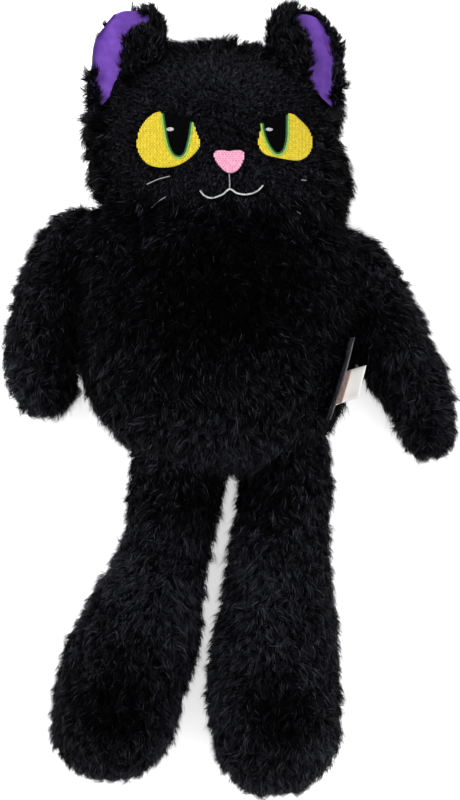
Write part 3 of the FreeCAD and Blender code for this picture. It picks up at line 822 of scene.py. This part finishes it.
def satin(name, mask, low, high, threads, replaced, lift, column=COLUMN):
    """Filled embroidery: upright columns of short stitches, with painted shade between them: a darker
    copy of the thread on the columns' sides and where stitches meet.
    """
    x0, y0 = low
    x1, y1 = high
    lines = np.arange(x0, x1, column)
    ys = np.arange(y0, y1, MASK_STEP)
    points = []
    faces = []
    painted_shade_slots = []
    for index, x in enumerate(lines):
        lit = mask(np.full(len(ys), x + column / 2), ys)
        edges = np.flatnonzero(np.diff(np.concatenate([[0], lit.astype(int), [0]])))
        for start, stop in zip(edges[::2], edges[1::2]):
            if stop - start < 3:
                continue
            low_y, high_y = ys[start], ys[stop - 1]
            rows = max(int((high_y - low_y) / STITCH_ROW), 2)
            first = len(points)
            phase = (index % 2) * STITCH_LENGTH / 2
            swells = []
            for y in np.linspace(low_y, high_y, rows + 1):
                part = ((y + phase) % STITCH_LENGTH) / STITCH_LENGTH
                swell = max(math.sin(math.pi * part), 0) ** 0.45
                swells.append(swell)
                end = min(y - low_y, high_y - y)
                swell *= 0.35 + 0.65 * min(end / 0.7, 1)
                base = face_height(x + column / 2, y)
                half = column * 0.56
                crest = lift + STITCH_SWELL * swell
                points += [
                    (x + column / 2 - half, y, base - EDGE_DEPTH),
                    (x + column / 2 - half * 0.84, y, base + crest - 0.2),
                    (x + column / 2, y, base + crest),
                    (x + column / 2 + half * 0.84, y, base + crest - 0.2),
                    (x + column / 2 + half, y, base - EDGE_DEPTH),
                ]
            for row in range(rows):
                here = first + row * 5
                faces += [(here + k, here + k + 1, here + k + 6, here + k + 5) for k in range(4)]
                # The columns' sides and the rows where stitches meet take the darker thread: painted
                # shade.
                between = min(swells[row], swells[row + 1]) < 0.4
                painted_shade_slots += [1, int(between), int(between), 1]
            last = first + rows * 5
            faces += [tuple(range(first + 4, first - 1, -1)), tuple(range(last, last + 5))]
            painted_shade_slots += [1, 1]
    obj = new_object(name, points, faces, threads[0])
    obj.data.materials.append(threads[1])
    obj.data.polygons.foreach_set("material_index", np.array(painted_shade_slots, np.int32))
    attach(obj, "head")
    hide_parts(*replaced)
    return obj


def box_of(outline):
    """An outline's lowest and highest corners, with a millimetre to spare."""
    return outline.min(0) - 1, outline.max(0) + 1


def build_eye(side):
    """One eye: the iris, the green rim in two shades, the pupil and its glint."""
    eye = EYE_CURVES[side]
    pupil = PUPIL_CURVES[side]
    gx, gy, gw, gh = GLINTS[side]
    low, high = box_of(eye)

    def dark(x, y):
        return inside(pupil, x, y) & inside(eye, x, y)

    def glint(x, y):
        return ((x - gx) / gw) ** 2 + ((y - gy) / gh) ** 2 < 1

    def iris(x, y):
        beyond_rim = distance(pupil, x, y, False) >= RIM_WIDTH * 0.7
        return inside(eye, x, y) & ~inside(pupil, x, y) & beyond_rim

    iris_piece = satin(f"{side}_iris", iris, low, high, YELLOW, [f"{side}_eye_iris"], 1.9)
    kept = pupil[inside(eye, pupil[:, 0], pupil[:, 1])]
    outward = unit(np.gradient(kept, axis=0)) @ np.array([[0, 1], [-1, 0]])
    outward *= -1 if inside(pupil, *(kept + outward * 0.5).T).mean() > 0.5 else 1
    outer = [kept + outward * RIM_WIDTH * 0.6]
    cord_of_thread(f"{side}_rim_light", outer, RIM_WIDTH * 0.4, LIGHT_GREEN, [f"{side}_eye_rim"], 1.9,
                   0.5)
    inner = [kept + outward * RIM_WIDTH * 0.08]
    cord_of_thread(f"{side}_rim_dark", inner, RIM_WIDTH * 0.32, DARK_GREEN, [], 1.95, 0.5)
    middle = satin(f"{side}_pupil", lambda x, y: dark(x, y) & ~glint(x, y), low, high, BLACK_THREAD,
                   [f"{side}_eye_pupil"], 1.6)
    # For the glint the grey thread is the darker copy: painted shade between its columns.
    shine = satin(f"{side}_glint", glint, low, high, (WHITE_THREAD, GREY_THREAD),
                  [f"{side}_eye_glint"], 2.0, GLINT_COLUMN)


CORD_SIDES = 8
CORD_STEP = 0.25


def cord_of_thread(name, lines, radius, made, replaced, lift, rib=0.8):
    """Stitched lines: ribbed tubes laid on the face, with a rib for each stitch."""
    points = []
    faces = []
    for line in lines:
        lengths = np.concatenate([[0], np.cumsum(np.linalg.norm(np.diff(line, axis=0), axis=1))])
        places = np.arange(0, lengths[-1], CORD_STEP)
        path = np.stack([np.interp(places, lengths, line[:, k]) for k in range(2)], 1)
        ahead = unit(np.gradient(path, axis=0))
        first = len(points)
        for index, ((x, y), (dx, dy)) in enumerate(zip(path, ahead)):
            ends = min(index, len(path) - 1 - index) / 3
            ribs = 0.8 + 0.2 * abs(math.sin(places[index] * math.pi / rib))
            here = radius * ribs * min(0.35 + ends, 1)
            base = face_height(x, y) + lift
            for k in range(CORD_SIDES):
                a = 2 * math.pi * k / CORD_SIDES
                across = math.cos(a) * here
                points.append((x - dy * across, y + dx * across, base + math.sin(a) * here))
        for row in range(len(path) - 1):
            for k in range(CORD_SIDES):
                a = first + row * CORD_SIDES + k
                b = first + row * CORD_SIDES + (k + 1) % CORD_SIDES
                faces.append((a, b, b + CORD_SIDES, a + CORD_SIDES))
        faces.append(tuple(range(first + CORD_SIDES - 1, first - 1, -1)))
        last = first + (len(path) - 1) * CORD_SIDES
        faces.append(tuple(range(last, last + CORD_SIDES)))
    obj = new_object(name, points, faces, made)
    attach(obj, "head")
    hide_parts(*replaced)
    return obj


for side in EYE_OUTLINES:
    build_eye(side)
    cord_of_thread(f"{side}_whisker_threads", WHISKER_LINES[side], 0.33, GREY_THREAD,
                   [f"{side}_whiskers"], 2.4)
nose = satin("nose_satin", lambda x, y: inside(NOSE_CURVE, x, y), *box_of(NOSE_CURVE), PINK,
             ["nose_embroidery"], 2.3)
# A thin plum cord round the nose's edge: painted shadow.
nose_line = np.vstack([NOSE_CURVE, NOSE_CURVE[:1]])
cord_of_thread("nose_edge_painted_shadow", [nose_line], 0.32, PLUM_PAINTED_SHADOW, [], 1.7)
cord_of_thread("mouth_thread", MOUTH_LINES[:1], 0.56, WHITE_THREAD, ["mouth_stitching"], 2.2)
cord_of_thread("nose_stem_thread", MOUTH_LINES[1:], 0.42, GREY_THREAD, [], 2.0)


# ---------------------------------------------------------------- ears

# The ear's cross-section, from its outer rim round the back to the flap that curls over
# in front, at full width: (towards the middle of the head, forwards).
EAR_SECTION = [
    (-20.5, 10), (-19.8, 6), (-15, 2.5), (-7, 0), (2, -2), (9, -2), (14.5, 1.5), (16.5, 7.5),
    (13.5, 13), (8, 15.5), (2, 15.3), (-3, 14.3),
]
# Each ear: its middle, the way to the head's middle, its width, how far its flap draws back
# near the tip, how high its lining shows and how much pile grows along its outer rim.
EARS = {
    "right": {
        "x": -49.5, "mirror": 1, "wide": 1.05, "draw_back": 0.26, "lining_top": 1.0, "rim_pile": 0.0,
    },
    "left": {
        "x": 47, "mirror": -1, "wide": 1.02, "draw_back": 0.12, "lining_top": 0.95, "rim_pile": 0.9,
    },
}
EAR_TIP = 189
EAR_INNER_FOOT = 157
EAR_OUTER_FOOT = 132
EAR_Z = 45
EAR_RISE = 18
EAR_ROWS = 34
EAR_COLUMNS = 48
PLUSH_THICK = 2.4
LINING_START = 2.5
LINING_THICK = 1.8
LINING_REACH = 0.9
EAR_DENSITY = 0.6
EAR_LENGTH = 6.2
EAR_TONE = -0.6


def ear_surface(side, inset=0.0, last=1.0, top=1.0):
    """Points on the ear's curled sheet, moved in from its outer face by an inset."""
    ear = EARS[side]
    section = smooth_curve([(x, z, 0) for x, z in EAR_SECTION], 10)[:, :2]
    lengths = np.concatenate([[0], np.cumsum(np.linalg.norm(np.diff(section, axis=0), axis=1))])
    grid = np.empty((EAR_ROWS, EAR_COLUMNS, 3))
    for row, v in enumerate(np.linspace(0, top, EAR_ROWS)):
        # The flap draws back from the lining over the upper part of the ear.
        flap = 1 - ear["draw_back"] / (1 + math.exp(-(v - 0.66) / 0.035))
        places = np.linspace(0, last * flap, EAR_COLUMNS) * lengths[-1]
        line = np.stack([np.interp(places, lengths, section[:, k]) for k in range(2)], 1)
        normal = unit(np.gradient(line, axis=0))
        normal = np.stack([-normal[:, 1], normal[:, 0]], 1)
        # The sheet thins towards its outer rim, where the lining rolls over it.
        depth = inset * np.clip(0.15 + places / lengths[-1] * 5, 0.15, 1)[:, None]
        width = ear["wide"] * (1 - 0.8 * v ** 7) ** 0.5 * (0.9 + 0.1 * min(v / 0.35, 1))
        shrunk = line * np.array([width, 0.45 + 0.55 * width]) + normal * depth
        inward = np.clip((line[:, 0] + 20) / 30, 0, 1)
        foot = EAR_OUTER_FOOT + (EAR_INNER_FOOT - EAR_OUTER_FOOT) * inward
        tip = EAR_TIP - 4.5 * np.clip((-1 - shrunk[:, 0]) / 11, 0, 1.3) ** 2
        grid[row, :, 0] = ear["x"] + ear["mirror"] * shrunk[:, 0]
        grid[row, :, 1] = foot + (tip - foot) * v
        grid[row, :, 2] = EAR_Z + shrunk[:, 1] + EAR_RISE * (1 - v)
    return grid


def closed_sheet(name, outer, inner, made):
    """A closed shell between two grids of the same size."""
    rows, columns = outer.shape[:2]
    points = np.concatenate([outer.reshape(-1, 3), inner.reshape(-1, 3)])
    half = rows * columns
    faces = []
    for r in range(rows - 1):
        for c in range(columns - 1):
            a = r * columns + c
            quad = (a, a + 1, a + columns + 1, a + columns)
            faces.append(quad)
            faces.append(tuple(half + k for k in reversed(quad)))
    rim = [c for c in range(columns)] + [r * columns + columns - 1 for r in range(1, rows)]
    rim += [(rows - 1) * columns + c for c in range(columns - 2, -1, -1)]
    rim += [r * columns for r in range(rows - 2, 0, -1)]
    for a, b in zip(rim, rim[1:] + rim[:1]):
        faces.append((b, a, half + a, half + b))
    obj = new_object(name, points, faces, made)
    bm = bmesh.new()
    bm.from_mesh(obj.data)
    bmesh.ops.recalc_face_normals(bm, faces=bm.faces)
    bm.to_mesh(obj.data)
    bm.free()
    return obj


def build_ear(side):
    """The ear's plush sheet and its lining. Gives the sheet and its outer face's points."""
    outer = ear_surface(side)
    inner = ear_surface(side, PLUSH_THICK)
    back = closed_sheet(f"{side}_ear_plush", outer, inner, BACKING)
    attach(back, f"{side}_ear")
    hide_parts(f"{side}_ear_back")
    top = EARS[side]["lining_top"]
    face = ear_surface(side, LINING_START + LINING_THICK, LINING_REACH, top)
    under = ear_surface(side, LINING_START, LINING_REACH, top)
    fold = waves(face.reshape(-1, 3), 16, 31).reshape(face.shape[:2])
    face[:, :, 2] += fold * 0.5
    lining = closed_sheet(f"{side}_ear_minky", face, under, MINKY)
    soften = lining.modifiers.new("soften", "SUBSURF")
    soften.levels = 1
    soften.render_levels = 1
    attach(lining, f"{side}_ear")
    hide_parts(f"{side}_ear_lining")
    return back, outer


def ear_pile(side, back, outer):
    """Pile on the ear's outer face and along its rims."""
    base = np.array([EARS[side]["x"], 150.0, EAR_Z + 3.0])

    def comb(points):
        return (points - base) * np.array([0.5, 1, 0.5]) + np.array([0, 8.0, 0])

    tree = KDTree(EAR_ROWS * EAR_COLUMNS)
    for index, place in enumerate(outer.reshape(-1, 3)):
        tree.insert(place, index)
    tree.balance()

    def trim(points):
        """Bare on the lining's side of the sheet and along the upper outer rim."""
        found = [tree.find(place) for place in points]
        index = np.array([hit[1] for hit in found])
        gap = np.array([hit[2] for hit in found])
        across = index % EAR_COLUMNS / (EAR_COLUMNS - 1)
        up = index // EAR_COLUMNS / (EAR_ROWS - 1)
        rim = (across < 0.14) & (up > 0.4) | (across < 0.5) & (up > 0.93)
        low_rim = (across < 0.14) & (up <= 0.4)
        factor = np.where(rim, EARS[side]["rim_pile"], np.where(low_rim, 1.3, 1))
        return np.where(gap < PLUSH_THICK / 2 + 0.1, factor, 0)

    grow(f"{side}_ear_pile", f"{side}_ear", back, EAR_DENSITY, FIBRES, EAR_LENGTH, 0.5, comb,
         lambda points: EAR_TONE, 9 + (side == "left"), spread=1.4, trim=trim)


for side in EARS:
    ear_pile(side, *build_ear(side))


# ---------------------------------------------------------------- label and tag

RIBBON_ROWS = 14
RIBBON_COLUMNS = 10


def ribbon(name, body, replaced, corners, thick, made, bow):
    """A thin sheet between four corners, bowed out of its plane."""
    a, b, c, d = (np.array(corner, float) for corner in corners)
    normal = unit(np.cross(b - a, d - a))
    outer = np.empty((RIBBON_ROWS, RIBBON_COLUMNS, 3))
    for r, v in enumerate(np.linspace(0, 1, RIBBON_ROWS)):
        for k, u in enumerate(np.linspace(0, 1, RIBBON_COLUMNS)):
            flat = (a * (1 - u) + b * u) * (1 - v) + (d * (1 - u) + c * u) * v
            outer[r, k] = flat + normal * bow(u, v)
    obj = closed_sheet(name, outer, outer + normal * thick, made)
    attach(obj, body)
    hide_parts(*replaced)
    return obj


LABEL = [(65, -34.5, 49), (67.5, -16.5, 51), (83.5, -11.5, 51), (79, -30, 49)]
LINER = [(60, -34.5, 51), (64, -15.5, 53), (75, -14.5, 54), (69.5, -33, 52)]
label = ribbon("care_label_satin", "care_label", ["care_label"], LABEL, 0.35, SATIN,
               lambda u, v: 1.1 * math.sin(math.pi * v) + 0.4 * math.sin(2 * math.pi * u))
liner = ribbon("care_label_liner", "care_label", [], LINER, 0.3, LINER_TAPE,
               lambda u, v: 0.9 * math.sin(math.pi * v))
TAG = [(59.4, -42, 50), (72.6, 4, 50), (75.8, 4, 69), (62.2, -42, 69)]
ribbon("side_tag_card", "side_tag", ["side_tag"], TAG, 0.6, CARD,
       lambda u, v: 0.9 * math.sin(math.pi * u))

SEAMS = ("closing", "neck", "right_shoulder", "left_shoulder", "right_hip", "left_hip")
for seam in SEAMS:
    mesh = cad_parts[f"{seam}_seam"].data
    mesh.materials.clear()
    mesh.materials.append(SEAM)


# ---------------------------------------------------------------- studio

FLOOR_REACH = 3000
# Each lamp's name, place in metres, power and width.
LAMPS = (("key", (-0.9, 0.9, 1.5), 22, 1.2), ("fill", (1.2, -0.6, 1.3), 12, 1.4))


def build_studio():
    """A pale floor, two large soft lights and an even pale sky."""
    corners = [(x * FLOOR_REACH, y * FLOOR_REACH, 0) for x, y in ((-1, -1), (1, -1), (1, 1), (-1, 1))]
    floor = new_object("floor", corners, [(0, 1, 2, 3)], material("floor_paint", (0.93, 0.93, 0.93), 0.9))
    glow = shader_of(floor.data.materials[0])
    glow.inputs["Emission Color"].default_value = (1, 1, 1, 1)
    glow.inputs["Emission Strength"].default_value = 0.6
    world = bpy.data.worlds.new("studio")
    bpy.context.scene.world = world
    world.use_nodes = True
    world.node_tree.nodes["Background"].inputs["Color"].default_value = (1, 1, 1, 1)
    world.node_tree.nodes["Background"].inputs["Strength"].default_value = 0.9
    for name, place, power, wide in LAMPS:
        data = bpy.data.lights.new(name, "AREA")
        data.energy = power
        data.size = wide
        lamp = bpy.data.objects.new(name, data)
        bpy.context.scene.collection.objects.link(lamp)
        lamp.location = place
        lamp.rotation_euler = (-Vector(place)).to_track_quat("-Z", "Y").to_euler()


# The camera looks straight down. The picture is this high where it crosses the view plane.
PICTURE_HEIGHT = 452.8
CAMERA_HEIGHT = 2000
VIEW_CENTRE = (6.5, -31.1)
VIEW_PLANE = 45


def build_camera():
    """A long lens straight above the cat."""
    data = bpy.data.cameras.new("camera")
    data.lens = data.sensor_width * (CAMERA_HEIGHT - VIEW_PLANE) / PICTURE_HEIGHT
    data.clip_end = 20
    camera = bpy.data.objects.new("camera", data)
    bpy.context.scene.collection.objects.link(camera)
    camera.location = (VIEW_CENTRE[0] * MM, VIEW_CENTRE[1] * MM, CAMERA_HEIGHT * MM)
    bpy.context.scene.camera = camera


build_studio()
build_camera()
bpy.context.scene.view_settings.view_transform = "Standard"
